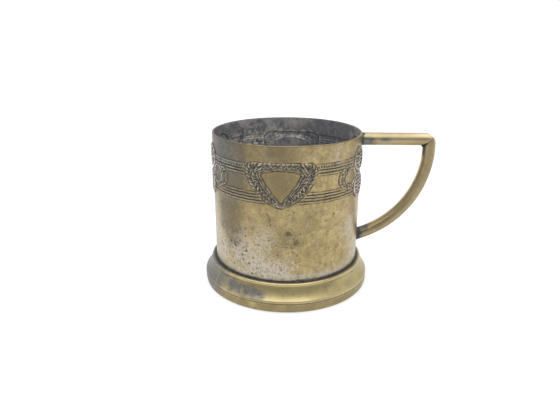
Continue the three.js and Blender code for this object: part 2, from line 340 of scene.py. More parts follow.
def leaf_row(along, across, slant, seed):
    """Overlapping leaves along a line, no two quite alike; across is how far off the line."""
    height = np.zeros(along.shape)
    first = np.floor(along / LEAF_PITCH)
    for step in (-1, 0, 1):
        leaf = first + step
        forward = along - (leaf + 0.5 + 0.18 * chance(leaf, seed)) * LEAF_PITCH
        turn = slant * (1 + 0.45 * chance(leaf, seed + 1))
        lengthwise = forward * np.cos(turn) + across * np.sin(turn)
        widthwise = across * np.cos(turn) - forward * np.sin(turn)
        taper = 1 - (lengthwise / LEAF_HALF_LENGTH) ** 2
        dome = 1 - (widthwise / (LEAF_HALF_WIDTH * np.maximum(taper, 0.05))) ** 2
        tilt = 0.7 + 0.25 * lengthwise / LEAF_HALF_LENGTH + 0.2 * chance(leaf, seed + 2)
        height = np.maximum(height, np.sqrt(np.clip(dome, 0, 1)) * tilt * (taper > 0))
    return height


def leaf_rows(share, width, along, rows):
    """Rows of leaves along a band, each at a share of its width, slanted to and fro by turns."""
    height = np.zeros(share.shape)
    for row, middle in enumerate(rows):
        slant = LEAF_SLANT * (-1) ** row
        shifted = along + row * LEAF_PITCH / 2
        across = (share - middle) * width
        height = np.maximum(height, leaf_row(shifted, across, slant, seed=71 + 3 * row))
    return height


def leafy_band(outside, inside, rows, x, z):
    """Distances to a band's two outlines, the share of the way across it, and its leaves."""
    outer, along = outline_distance(outside, x, z)
    inner, _ = outline_distance(inside, x, z)
    width = np.maximum(inner - outer, 0.01)
    share = np.clip(inner / width, 0, 1)
    return outer, inner, share, leaf_rows(share, width, along, rows)


def rails_relief(x, z):
    """Reeded rails; the upper one carries a hatched rope."""
    height = np.zeros(x.shape)
    near, far = RAIL_MARGIN
    for base in RAILS:
        for i in range(RIDGES):
            middle = base + RIDGE_FOOT / 2 + i * RIDGE_PITCH
            height = np.maximum(height, RAIL_RELIEF * ridge(z - middle, RIDGE_HALF_WIDTH))
        top = base + (RIDGES - 1) * RIDGE_PITCH + RIDGE_FOOT
        between = ramp(z, base - far, base - near) * ramp(z, top + far, top + near)
        height = height - MOAT_DEPTH * between
    rope_middle = RAILS[1] + RIDGE_FOOT / 2 + 2.5 * RIDGE_PITCH
    strand = np.cos(FULL_TURN * (x + ROPE_SLANT * (z - rope_middle)) / ROPE_PITCH)
    rope = RAIL_RELIEF * ridge(z - rope_middle, ROPE_HALF_WIDTH) * (0.4 + 0.6 * strand)
    return np.maximum(height, rope)


def eye_relief(height, x, z):
    """Oval eye of a knot: a leafy band round a plain window."""
    upper = EYE_MIDDLE[1] + np.abs(z - EYE_MIDDLE[1])
    outlines = [oval(EYE_MIDDLE, size, OVAL_ANGLES) for size in (EYE_SIZE, WINDOW_SIZE)]
    outer, window, _, leaves = leafy_band(*outlines, EYE_LEAF_ROWS, x, upper)
    band = EYE_GROUND + EYE_LEAF_RELIEF * leaves * (window > EYE_LEAVES_FROM)
    band = np.maximum(band, WINDOW_RING_RELIEF * ridge(window - WINDOW_RING, WINDOW_RING))
    height = np.where(window < 0, WINDOW_RELIEF, height)
    return lay(height, band, np.maximum(outer, -window))


def lobe_relief(height, x, z, lobe_height):
    """Round lobe of a knot: a broad ring about a hatched middle."""
    outer, _ = outline_distance(oval((LOBE_MIDDLE, lobe_height), LOBE_SIZE, OVAL_ANGLES), x, z)
    stripes = 0.36 + 0.6 * np.cos(FULL_TURN * (z - lobe_height) / HATCH_PITCH)
    hatch = stripes * (-outer > HATCH_DEPTH)
    ring = ridge(-outer - LOBE_RING, LOBE_RING)
    return lay(height, LOBE_RELIEF * np.maximum(hatch, ring), outer)


def shield_relief(height, x, z):
    """Pointed shield: a plain field in two fillets and a garland of leaves."""
    outlines = hull_outline(SHIELD, SHIELD_ARCHES), hull_outline(FIELD, FIELD_ARCHES)
    outer, field, share, leaves = leafy_band(*outlines, SHIELD_LEAF_ROWS, x, z)
    band = SHIELD_GROUND + SHIELD_LEAF_RELIEF * leaves * (share > SHIELD_LEAVES_FROM)
    for middle in FILLETS:
        band = np.maximum(band, FILLET_RELIEF * ridge(share - middle, FILLET_HALF_WIDTH))
    height = np.where(field < 0, FIELD_RELIEF, height)
    return lay(height, band, np.maximum(outer, -field))


def frieze_relief(heights):
    """Relief of the whole girth and the sunk lines round its forms, from one mirrored quarter.

    Both have a row for each height.
    """
    quarter = COLUMNS // 4
    x, z = np.meshgrid(np.linspace(0, SHIELD_TO_KNOT, quarter + 1), heights)
    rails = rails_relief(x, z)
    relief = eye_relief(rails, x, z)
    for lobe_height in LOBE_HEIGHTS:
        relief = lobe_relief(relief, x, z, lobe_height)
    relief = shield_relief(relief, x, z)
    moat = 1.0 * ((relief < 0.05) & (np.abs(relief - rails) > 0.001))
    column = np.arange(COLUMNS) % (2 * quarter)
    mirrored = np.minimum(column, 2 * quarter - column)
    return relief[:, mirrored], moat[:, mirrored]


# Meshes

def added(name, data):
    """A new object in the scene."""
    thing = bpy.data.objects.new(name, data)
    bpy.context.scene.collection.objects.link(thing)
    return thing


def build(name, node, points, material, marks=None, closed=True):
    """Makes a piece from rings of points, and lets it stand for a CAD node.

    Rings run along the first axis. A closed piece joins its last ring to its first, and an
    open one gets a fan of faces at each end. Marks are values at the points for its material.
    """
    rings, sides = points.shape[:2]
    index = np.arange(rings * sides).reshape(rings, sides)
    turned = np.roll(index, -1, axis=1)
    quads = np.stack([index, turned, np.roll(turned, -1, axis=0), np.roll(index, -1, axis=0)], axis=-1)
    quads = quads[:rings if closed else rings - 1].reshape(-1, 4)
    vertices = points.reshape(-1, 3)
    faces = quads.tolist()
    if not closed:
        vertices = np.concatenate([vertices, points[[0, -1]].mean(axis=1)])
        first_middle = rings * sides
        for k in range(sides):
            faces.append([turned[0, k], index[0, k], first_middle])
            faces.append([index[-1, k], turned[-1, k], first_middle + 1])
    corners = vertices[quads] - vertices.mean(axis=0)
    outward = np.einsum("ij,ij->i", corners[:, 0], np.cross(corners[:, 1], corners[:, 2])).sum()
    if outward < 0:
        faces = [face[::-1] for face in faces]

    in_frame = (vertices - [0, 0, SEAT_HEIGHT]) * MILLIMETRE
    mesh = bpy.data.meshes.new(name)
    mesh.from_pydata(in_frame.tolist(), [], faces)
    mesh.polygons.foreach_set("use_smooth", np.arange(len(mesh.polygons)) < len(quads))
    for mark, values in (marks or {}).items():
        flat = np.zeros(len(vertices), np.float32)
        flat[:rings * sides] = np.broadcast_to(values, (rings, sides)).ravel()
        mesh.attributes.new(mark, "FLOAT", "POINT").data.foreach_set("value", flat)
    mesh.materials.append(material)
    piece = added(name, mesh)
    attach(piece, "root")
    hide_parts(node)


def round_the_axis(radius, height, angle):
    """Points about the Z axis, for radii and heights by ring and angles by side."""
    return placed(radius * np.sin(angle), -radius * np.cos(angle), height)


def blots(angle, height, spots):
    """Soft round marks: each has an angle in degrees, a height, a size and a strength."""
    total = np.zeros(np.broadcast(angle, height).shape)
    for degrees, middle, size, strength in spots:
        turn = wrapped(angle - math.radians(degrees))
        gap = np.hypot(turn * SLEEVE_RADIUS, height - middle)
        total = np.maximum(total, strength * bell(gap, 0, size))
    return total


# Marks on the sleeve, each with an angle in degrees, a height, a size and a strength
SLEEVE_MARKS = {
    "silver": (
        (-62, 24, 14, 0.7), (-34, 24, 12, 0.75), (-20, 18, 10, 0.9), (-8, 16, 9, 0.95),
        (-16, 33, 7, 0.6), (-19, 38, 5, 0.45), (38, 70, 9, 0.4), (20, 14, 6, 0.5),
        (58, 34, 9, 0.55), (70, 20, 12, 0.6), (-84, 36, 12, 0.9), (-76, 43, 8, 0.8),
        (-75, 28, 9, 0.8), (130, 24, 17, 0.8), (165, 34, 10, 0.6), (205, 18, 15, 0.8),
        (235, 38, 11, 0.6),
    ),
    "dark": (
        (-62, 70, 14, 1.9), (-44, 69, 9, 1.8), (-12, 71, 8, 0.5), (-66, 58, 10, 1.0),
        (-40, 58, 9, 1.2), (-24, 66, 5, 0.4), (8, 70, 6, 0.35), (-3, 32, 10, 0.35),
        (-48, 43, 10, 1.15), (-46, 36, 9, 0.95), (-36, 40, 8, 0.5), (-40, 30, 7, 0.65),
        (-44, 49, 8, 0.7), (142, 68, 17, 1.1), (215, 55, 12, 0.5), (110, 40, 10, 0.4),
        (206, 70.5, 3.5, 1.2), (262, 68, 10, 2.0), (232, 71, 4, 1.3), (222, 66.5, 4, 0.9),
    ),
    "age_and_shade": (
        (-4, 57, 10, 1.0), (-18, 56, 10, 0.9), (-40, 58, 10, 0.7), (-4, 71, 9, 0.7),
        (-40, 44, 9, 0.7), (-46, 40, 9, 0.9), (-42, 32, 6, 0.5), (-26, 71, 9, 0.7),
        (-24, 38, 7, 0.45), (-12, 42, 6, 0.5), (2, 34, 8, 0.6), (12, 40, 9, 0.5), (-6, 28, 7, 0.45),
        (18, 26, 8, 0.4), (180, 57, 12, 0.9), (140, 45, 14, 0.6), (220, 60, 12, 0.7),
    ),
    "spot": (
        (1.3, 36.2, 1.3, 1.0), (3.4, 35.6, 0.9, 0.7), (7.1, 31.9, 2.6, 0.6), (4.0, 29.6, 1.8, 0.5),
        (-45.5, 28.2, 0.9, 0.9), (-41, 27, 1.1, 0.8), (-34, 23.5, 0.9, 0.9), (-28, 20, 0.8, 0.8),
        (-26, 15.2, 0.7, 0.9), (-6, 26, 0.7, 0.7), (-17, 29, 0.6, 0.6), (14, 46, 0.6, 0.6),
        (36.5, 43, 0.9, 0.7), (5.2, 46.1, 0.6, 0.7), (-25, 37, 0.9, 0.5), (-31.4, 36.5, 1.2, 0.6),
        (-30.6, 25.8, 1.0, 0.8), (-33, 21.3, 0.9, 0.7), (-7.5, 39.5, 1.5, 0.45),
        (48, 33, 1.5, 0.45), (50, 45, 2.0, 0.45), (-52.7, 26.8, 2.0, 0.45), (-36, 30, 0.7, 0.8),
        (-31, 33, 0.8, 0.7), (-40, 28.6, 0.6, 0.8), (-22, 18.4, 0.5, 0.8), (120, 30, 1.4, 0.9),
        (133, 38, 0.9, 0.7), (160, 26, 1.1, 0.8), (190, 36, 1.5, 0.8), (222, 28, 1.0, 0.8),
        (240, 22, 1.3, 0.9),
    ),
    "cool": (
        (-78, 58, 15, 1.0), (-58, 68, 13, 1.0), (-46, 65, 9, 0.8), (-50, 50, 7, 0.4),
        (66, 58, 11, 0.7), (-10, 71, 11, 0.3), (108, 58, 9, 0.6), (258, 58, 15, 0.9),
    ),
    # Painted reflection: whitish crests near the sides of the frieze
    "painted_edge_glint": ((71, 58, 9, 1.0), (-79, 58, 9, 1.0), (109, 58, 9, 0.8), (259, 58, 9, 0.8)),
    # Painted highlights on the inner relief's lines
    "inner_glint": (
        (213, 64.5, 7, 1.2), (229, 65, 5, 0.7), (190, 66.5, 5, 0.9), (172, 66, 6, 0.5),
        (243, 66, 5, 0.2),
    ),
    "pitted": (
        (-44, 25, 9, 0.7), (-28, 21, 9, 0.9), (-14, 24, 9, 0.9), (-2, 23, 8, 0.8), (-5, 29, 6, 1.0),
        (-24, 15, 6, 0.6), (6, 31, 6, 0.8), (125, 28, 12, 0.8), (190, 30, 14, 0.8),
        (230, 24, 10, 0.8),
    ),
    "red": ((41.3, 27.2, 1.4, 1.2), (24, 60, 2.2, 0.35), (-17, 47, 3.0, 0.4), (200, 44, 2.0, 0.5)),
}
# Where the frieze is free of patina, and the curve of a scratch, in degrees and heights
CLEAN_PATCHES = ((60, 58, 16, 0.35), (150, 54, 10, 0.4), (250, 60, 12, 0.4))
SCRATCH = ((-14.4, 45.3), (-11.3, 43.6), (-11.5, 39.4))


def sleeve(material):
    """Rolled sheet with the frieze pressed into it, its reverse inside, and a worn plain rim."""
    frieze_rows = round((FRIEZE_HIGH - FRIEZE_LOW) / FRIEZE_STEP)
    edge = SLEEVE_WALL / 2
    outside = np.concatenate([
        np.linspace(LEDGE_HEIGHT, FRIEZE_LOW, PLAIN_ROWS, endpoint=False),
        np.linspace(FRIEZE_LOW, FRIEZE_HIGH, frieze_rows, endpoint=False),
        np.linspace(FRIEZE_HIGH, RIM_HEIGHT - edge, RIM_ROWS),
    ])
    angle = FRIEZE_TURN + around(COLUMNS)
    high = outside[:, None]

    def from_joint(joint_height):
        return np.hypot((angle - math.pi / 2) * SLEEVE_RADIUS, high - joint_height)

    arm_gap = from_joint(ARM_HEIGHT)
    relief, moat = (shaken(field, angle, high) for field in frieze_relief(outside))
    wear = 0.85 + 0.15 * uneven(angle, high, seed=3, turns=(3, 40), rise=0.5, waves=16)
    relief = relief * wear * ramp(arm_gap, 3.6, 4.6)
    soft = blurred(relief, 7)
    cavity = np.clip((soft - relief) / 0.11, 0, 1) + np.clip(-relief / MOAT_DEPTH, 0, 1)
    broken = 0.64 + 0.4 * uneven(angle, high, seed=63, turns=(8, 50), rise=0.7, waves=16)
    cavity = np.clip(cavity, 0, 1) * (1 - blurred(moat, 1) * np.clip(broken, 0.25, 0.95))
    crest = np.clip((relief - soft) / 0.12, 0, 1) * ramp(relief, 0.15, 0.4)
    ornament = ramp(blurred(relief, 14), 0.03, 0.4) * (1 - blots(angle, high, CLEAN_PATCHES))
    reverse = REVERSE_SHARE * blurred(relief, 3)
    reverse_step = (reverse - blurred(reverse, 10)) / 0.1

    coarse_end = PLAIN_ROWS + frieze_rows // 3
    frieze_end = PLAIN_ROWS + frieze_rows
    inside_rows = np.concatenate([
        np.arange(0, PLAIN_ROWS, 2),
        np.arange(PLAIN_ROWS, coarse_end, 3),
        np.arange(coarse_end, frieze_end, 2),
        np.arange(frieze_end, len(outside)),
    ])[::-1]
    bend = np.linspace(0, math.pi, 7)[1:-1]
    rim_radius = SLEEVE_RADIUS - edge + edge * np.cos(bend)
    rim_height = RIM_HEIGHT - edge + edge * np.sin(bend)

    blank = np.zeros((len(bend), COLUMNS))
    bore = SLEEVE_RADIUS - SLEEVE_WALL
    radius = np.concatenate([
        SLEEVE_RADIUS + relief,
        rim_radius[:, None] + blank,
        bore + reverse[inside_rows],
    ])
    height = np.concatenate([outside, rim_height, outside[inside_rows]])[:, None]
    dents = 0.1 * uneven(angle, height, seed=11) * ramp(height, 20, 60)
    sag = 0.06 * uneven(angle, 0, seed=12) * ramp(height, 66, RIM_HEIGHT)
    points = round_the_axis(radius + dents, height + sag, angle)

    # Painted shade, with some tarnish, just above the foot joint, and painted shade round the handle's
    # joints; the frieze's hollows hold patina
    near_foot = ramp(high, LEDGE_HEIGHT + 1.5, LEDGE_HEIGHT + 0.7)
    near_foot = near_foot * np.clip(0.38 + 0.3 * uneven(angle, 0, seed=64, turns=(2, 24)), 0.1, 0.8)
    near_arm = ramp(arm_gap, 5.0, 3.6)
    near_bow = ramp(from_joint(LOWER_JOINT[1]), 5.5, 3.8)
    patina_and_shade = np.clip(highest(cavity, near_foot, near_arm, near_bow), 0, 1)
    plated = 0.45 + 0.45 * bell(wrapped(angle + math.radians(20)), 0, 0.7)
    lower_edge = plated * ramp(height, LEDGE_HEIGHT + 7, LEDGE_HEIGHT + 1.5)
    # Painted shade: the rim darkens towards the back
    painted_rim_shade = 0.6 * ramp(-np.cos(angle), 0.1, 0.7)

    def over_all(outer, rim, inner):
        return np.concatenate([
            np.broadcast_to(outer, relief.shape),
            rim + blank,
            np.broadcast_to(inner, (len(inside_rows), COLUMNS)),
        ])

    marks = {name: blots(angle, height, spots) for name, spots in SLEEVE_MARKS.items()}
    scratch = [(degrees, up, 0.4, 0.75) for degrees, up in bezier(*SCRATCH, 18)]
    marks["spot"] = np.maximum(marks["spot"], blots(angle, height, scratch))
    marks["silver"] = np.maximum(marks["silver"], lower_edge)
    marks["age_and_shade"] = np.maximum(marks["age_and_shade"], over_all(0.0, 0.9, 0.0))
    marks["cavity"] = over_all(patina_and_shade, painted_rim_shade, np.clip(reverse_step, 0, 1)[inside_rows])
    marks["crest"] = over_all(crest, 0.0, np.clip(-reverse_step, 0, 1)[inside_rows])
    marks["ornament"] = over_all(ornament, 0.0, 0.0)
    marks["inside"] = over_all(0.0, 0.0, 1.0)
    build("sleeve", "body_sleeve", points, material, marks)


FOOT_OUTSIDE = np.concatenate([
    level_run(FOOT_INNER, 36.2, LEDGE_HEIGHT, 10),
    oval((36.4, 12.0), (1.8, 1.8), np.radians(np.linspace(90, -40, 12))),
    curves(
        (37.05, 11.35),
        ((36.8, 11.1), (36.95, 10.85), 4),
        ((38.25, 7.92), (40.12, 5.88), 20),
        ((40.58, 5.38), (40.5, 4.95), 8),
        ((40.15, 4.6), (40.46, 4.15), 8),
        ((40.5, 2.8), (40.4, 1.5), 8),
        ((40.35, 0.05), (38.9, 0.0), 10),
    ),
    level_run(38.6, 36.6, 0.0, 5),
])
FOOT_INSIDE = np.concatenate([
    curves(
        (36.6, 0.0),
        ((36.55, FOOT_WALL), (37.4, FOOT_WALL), 4),
        ((39.5, FOOT_WALL), (39.55, 2.4), 6),
        ((39.75, 4.8), (39.2, 5.8), 6),
        ((37.6, 8.8), (36.0, 11.0), 8),
        ((35.3, 12.0), (34.0, LEDGE_HEIGHT - FOOT_WALL), 6),
    ),
    level_run(33.0, FOOT_INNER, LEDGE_HEIGHT - FOOT_WALL, 4),
])
FOOT_SPOTS = (
    (-40, 8.6, 4.0, 1.1), (-34, 8.4, 3.2, 1.1), (-28, 8.0, 3.0, 1.2), (-22, 7.7, 2.8, 1.2),
    (-17, 7.4, 2.4, 1.1), (-13, 7.2, 2.5, 0.5), (-54, 9.0, 8.0, 1.0), (-84, 7.0, 18.0, 1.9),
    (-62, 5.0, 9.0, 1.0), (28, 9.5, 3.0, 0.5), (48, 8.0, 2.0, 0.5), (95, 6, 6.0, 0.6),
    (150, 9, 7.0, 0.7), (215, 7, 6.0, 0.7), (262, 8, 8.0, 0.6),
)
FOOT_AGED = (
    (56, 8, 10, 0.45), (72, 7, 12, 0.6), (128, 8, 14, 0.5), (190, 8, 16, 0.5), (240, 7, 14, 0.5),
)


def foot(material):
    """Spun hollow foot: ledge, bead, flare, groove and a turned-in base."""
    profile = np.concatenate([FOOT_OUTSIDE, FOOT_INSIDE])
    radius, height = profile[:, :1], profile[:, 1:]
    angle = around(FOOT_SIDES)
    dents = 0.09 * uneven(angle, 3 * height, seed=21) * ramp(height, 0.5, 3)
    points = round_the_axis(radius + dents, height, angle)
    under = np.arange(len(profile))[:, None] >= len(FOOT_OUTSIDE) - 3
    # Painted shade in the crease and the groove, and on the ledge with tarnish
    crease = ridge(height - CREASE_HEIGHT, 0.5) * (radius > 36)
    groove = ridge(height - GROOVE_HEIGHT, 0.4)
    ledge = (radius < 36.3) & (height > 12)
    # Painted highlights, with rubbed wear, on the bead and the lip
    bead = ridge(height - BEAD_HEIGHT, 0.7) * (radius > 36.9)
    lip = ridge(height - LIP_HEIGHT, 0.8) * (radius > 39)
    tarnish = blots(angle, height, FOOT_SPOTS)
    # Darker olive over the base band below the groove, unevenly
    darker_base_band = 0.86 + 0.2 * uneven(angle, height, seed=22, turns=(3, 40), rise=0.8, waves=16)
    darker_base_band = darker_base_band * ramp(height, 4.6, 3.6)
    marks = {
        "cavity": np.where(under, 0, highest(0.5 * crease, 0.75 * groove, 0.8 * ledge)),
        "crest": np.where(under, 0, np.maximum(bead, lip) * (1 - 0.75 * np.minimum(tarnish, 1))),
        "inside": 1.0 * under,
        "dark": tarnish,
        "age_and_shade": np.maximum(darker_base_band, blots(angle, height, FOOT_AGED)),
    }
    build("foot", "foot_moulding", points, material, marks)


def floor_plate(material):
    """Flat floor with fine rings left by turning."""
    reach = np.linspace(0.15, FLOOR_FLAT, 90)
    rings = 0.02 * np.sin(reach * 2.3) + 0.015 * np.sin(reach * 5.1 + 1)
    below = reach[::-6]
    radius = np.concatenate([reach, [33.2, 33.3, FLOOR_RADIUS, FLOOR_RADIUS], below])[:, None]
    height = np.concatenate([
        SEAT_HEIGHT - 0.03 + rings,
        [SEAT_HEIGHT - 0.05, FLOOR_EDGE, FLOOR_EDGE, LEDGE_HEIGHT],
        np.full(len(below), LEDGE_HEIGHT),
    ])[:, None]
    points = round_the_axis(radius, height, around(FLOOR_SIDES))
    marks = {"crest": bell(radius, GLASS_RADIUS, 4), "cavity": ramp(radius, 30, FLOOR_FLAT)}
    build("floor_plate", "floor_disc", points, material, marks, closed=False)


def solder_ring(name, node, corner_radius, corner_height, reach, way, seed, material):
    """Lumpy solder fillet in a ring-shaped corner; way is 1 outside a wall and -1 inside it."""
    angle = around(FOOT_SIDES)
    wide = reach * (1 + 0.22 * lumps(angle, seed))
    tall = reach * (1 + 0.25 * lumps(angle, seed + 1))
    bend = np.linspace(0, math.pi / 2, 7)[:, None]
    corner = 0 * angle[None]
    out = np.concatenate([(1 - FILLET_HOLLOW * np.sin(bend)) * wide, corner])
    up = np.concatenate([(1 - FILLET_HOLLOW * np.cos(bend)) * tall, corner])
    radius = corner_radius + way * (SOLDER_GAP + out)
    points = round_the_axis(radius, corner_height + up, angle)
    build(name, node, points, material)


# Handle

CORNER_TURN = math.atan2(CORNER[1] - BOW_CENTRE[1], CORNER[0] - BOW_CENTRE[0])
MITRE_ANGLE = (math.pi / 2 + CORNER_TURN) / 2
MITRE_NORMAL = np.array([-math.sin(MITRE_ANGLE), math.cos(MITRE_ANGLE)])


def filed(x, y, z):
    """Points of a bar, with the handle's outer corner filed round."""
    right = BOW_CENTRE[0] + BOW_RADIUS + BAR_RADIUS - CORNER_ROUNDING
    top = ARM_HEIGHT + BAR_RADIUS - CORNER_ROUNDING
    past, above = x - right, z - top
    out = np.hypot(past, above)
    scale = np.where((past > 0) & (above > 0) & (out > CORNER_ROUNDING), CORNER_ROUNDING / out, 1)
    return placed(right + past * scale, y, top + above * scale)


def bar_sides(side):
    """Offsets at angles round a bar: outwards in the handle's plane, and across it."""
    return BAR_RADIUS * np.cos(side), BAR_RADIUS * np.sin(side)


def sleeve_wall(across):
    """Where bars and collars meet the sleeve, for distances across the handle's plane."""
    return np.sqrt((SLEEVE_RADIUS + SOLDER_GAP) ** 2 - across ** 2)


def seam_grime(x, z, out):
    """Dirt along the inner half of the mitre's seam."""
    to_seam = np.abs((x - CORNER[0]) * MITRE_NORMAL[0] + (z - CORNER[1]) * MITRE_NORMAL[1])
    return 0.6 * ridge(to_seam, 0.4) * ramp(-out, -1.2, 0.6)


def arm(material):
    """Level bar from the sleeve to the mitre."""
    up, across = bar_sides(around(BAR_SIDES))
    start = sleeve_wall(across)
    end = CORNER[0] + (MITRE_GAP / 2 - MITRE_NORMAL[1] * up) / MITRE_NORMAL[0]
    x = np.linspace(start, end, ARM_ROWS)
    swell = 1 + BAR_SWELL * uneven(np.arctan2(across, up), 4 * x, seed=31)
    points = filed(x, across * swell, ARM_HEIGHT + up * swell)
    from_wall = x - start
    marks = {
        "cavity": np.maximum(
            seam_grime(x, ARM_HEIGHT + up, up),
            # Painted shade next to the sleeve
            0.5 * ramp(from_wall, 3, 0.5),
        ),
        # Painted highlight on the top of the arm towards the corner
        "crest": ramp(x, 56, 64) * ramp(up, 0, 2.5),
        # Painted shade on the arm's lower side near the sleeve, and a smudge on its front
        "dark": np.maximum(
            1.3 * ramp(from_wall, 10, 3) * (1 - 0.9 * ramp(up, 0.6, 1.8)),
            1.1 * bell(x, 46, 2.6) * bell(up, 0.2, 1.2) * (across < 0),
        ),
    }
    build("arm_bar", "handle_top_arm", points, material, marks, closed=False)


def bow(material):
    """Curved bar from the mitre back to the sleeve."""
    out, across = bar_sides(around(BAR_SIDES))
    radius = BOW_RADIUS + out
    to_centre = np.array(BOW_CENTRE) - CORNER
    lean = (-MITRE_GAP / 2 - to_centre @ MITRE_NORMAL) / radius
    start = MITRE_ANGLE + math.pi / 2 - np.arccos(lean)
    end = -np.arccos((sleeve_wall(across) - BOW_CENTRE[0]) / radius)
    angle = np.linspace(start, end, BOW_ROWS)
    swell = 1 + BAR_SWELL * uneven(np.arctan2(across, out), 150 * angle, seed=32)
    ring = BOW_RADIUS + out * swell
    x = BOW_CENTRE[0] + ring * np.cos(angle)
    z = BOW_CENTRE[1] + ring * np.sin(angle)
    points = filed(x, across * swell, z)
    from_wall = (angle - end) * BOW_RADIUS
    lower = ramp(z, 48, 34)
    # The inner side is lightened for wear by fingers and as painted light against its darker
    # reflection
    rubbed = (2.5 - lower) * ramp(-out, 1.4, 2.3) * ramp(from_wall, 6, 10)
    # Painted reflection: a dark band along the bow's lower half
    painted_dark_band = 0.6 * bell(out, -1.3, 0.55) * lower * ramp(from_wall, 4, 9)
    marks = {
        "cavity": highest(
            seam_grime(x, z, out),
            # Painted shade next to the sleeve, and on the inner side under the arm
            0.5 * ramp(from_wall, 3, 0.5),
            0.9 * ramp(z, 60, 65) * ramp(-out, 1.5, 2.5),
            painted_dark_band,
        ),
        # Painted highlight on the outer side near the corner, beside the lightened inner side
        "crest": np.maximum(ramp(out, 0.8, BAR_RADIUS) * ramp(z, 58, 68), rubbed),
        "dark": 1.3 * np.maximum(
            ramp(from_wall, 4, 1.5),
            ramp(from_wall, 8, 4.5) * ramp(-out, 0, 1.5),
        ),
        "age_and_shade": np.maximum(
            (0.5 + 0.05 * ramp(z, 40, 54)) * ramp(out, -2.2, -0.5),
            # Painted reflection: a dark band along the middle of the lower bow
            0.9 * bell(out, -0.3, 0.8) * ramp(z, 54, 38),
        ),
    }
    build("bow_bar", "handle_bow", points, material, marks, closed=False)


def joint_solder(name, node, base, slope, length, seed, material):
    """Lumpy solder collar round a bar that leaves the sleeve at a slope."""
    side = around(COLLAR_SIDES)
    way = np.array([math.cos(slope), math.sin(slope)])
    normal = np.array([-way[1], way[0]])
    climb = np.linspace(0, 1, 10)[:, None]
    foot_radius = BAR_RADIUS + COLLAR_FLARE + 0.12 * lumps(side, seed)
    length = length + 0.4 * lumps(side, seed + 1)
    bar_radius = BAR_RADIUS + SOLDER_GAP
    radius = np.concatenate([
        bar_radius + (foot_radius - bar_radius) * (1 - climb) ** 2.2,
        np.full((2, COLLAR_SIDES), bar_radius - 0.03),
    ])
    rise = np.concatenate([length * climb ** 1.4, length * np.array([[0.98], [0.0]])])
    across = radius * np.cos(side)
    up = radius * np.sin(side)
    along = (sleeve_wall(across) - base[0] - up * normal[0]) / way[0] + rise
    x = base[0] + along * way[0] + up * normal[0]
    z = base[1] + along * way[1] + up * normal[1]
    build(name, node, placed(x, across, z), material)


def mitre_solder(material):
    """Bead of solder along the inner half of the mitre."""
    up, across = bar_sides(np.radians(np.linspace(118, 242, 40)))
    x = CORNER[0] - MITRE_NORMAL[1] * up / MITRE_NORMAL[0]
    path = placed(x, across, ARM_HEIGHT + up)
    share = np.linspace(-1, 1, 40)
    thick = MITRE_BEAD * np.sqrt(1 - 0.97 * share ** 2) * (1 + 0.12 * lumps(2 * share, seed=41))
    way = np.gradient(path, axis=0)
    way /= np.linalg.norm(way, axis=1, keepdims=True)
    seam = np.array([MITRE_NORMAL[0], 0.0, MITRE_NORMAL[1]])
    other = np.cross(way, seam)
    turn = around(24)
    points = (
        path[:, None]
        + (thick[:, None] * np.cos(turn))[..., None] * seam
        + (thick[:, None] * np.sin(turn))[..., None] * other[:, None]
    )
    build("mitre_solder", "corner_solder", points, material, closed=False)


# Materials

class Value:
    """A node's output, which sums, products and levels are made from."""

    def __init__(self, nodes, socket):
        self.nodes = nodes
        self.socket = socket

    def __add__(self, other):
        return self.nodes.value("Math", {0: self, 1: other}, operation="ADD")

    def __mul__(self, other):
        return self.nodes.value("Math", {0: self, 1: other}, operation="MULTIPLY")

    def level(self, low, high):
        """0 at one level of the value and 1 at another, which may be the lower one."""
        return self.nodes.value("MapRange", {
            "Value": self,
            "From Min": min(low, high),
            "From Max": max(low, high),
            "To Min": float(low > high),
            "To Max": float(low < high),
        }, interpolation_type="SMOOTHSTEP")


class Nodes:
    """The nodes of a material or a world."""

    def __init__(self, owner):
        owner.use_nodes = True
        self.tree = owner.node_tree

    def put(self, name, inputs):
        """Sets the inputs of a named node, or links values to them."""
        sockets = self.tree.nodes[name].inputs
        for key, content in inputs.items():
            if isinstance(content, Value):
                self.tree.links.new(content.socket, sockets[key])
            else:
                sockets[key].default_value = content

    def value(self, kind, inputs, output=0, **settings):
        """An output of a new node."""
        node = self.tree.nodes.new("ShaderNode" + kind)
        for name, setting in settings.items():
            setattr(node, name, setting)
        self.put(node.name, inputs)
        return Value(self, node.outputs[output])


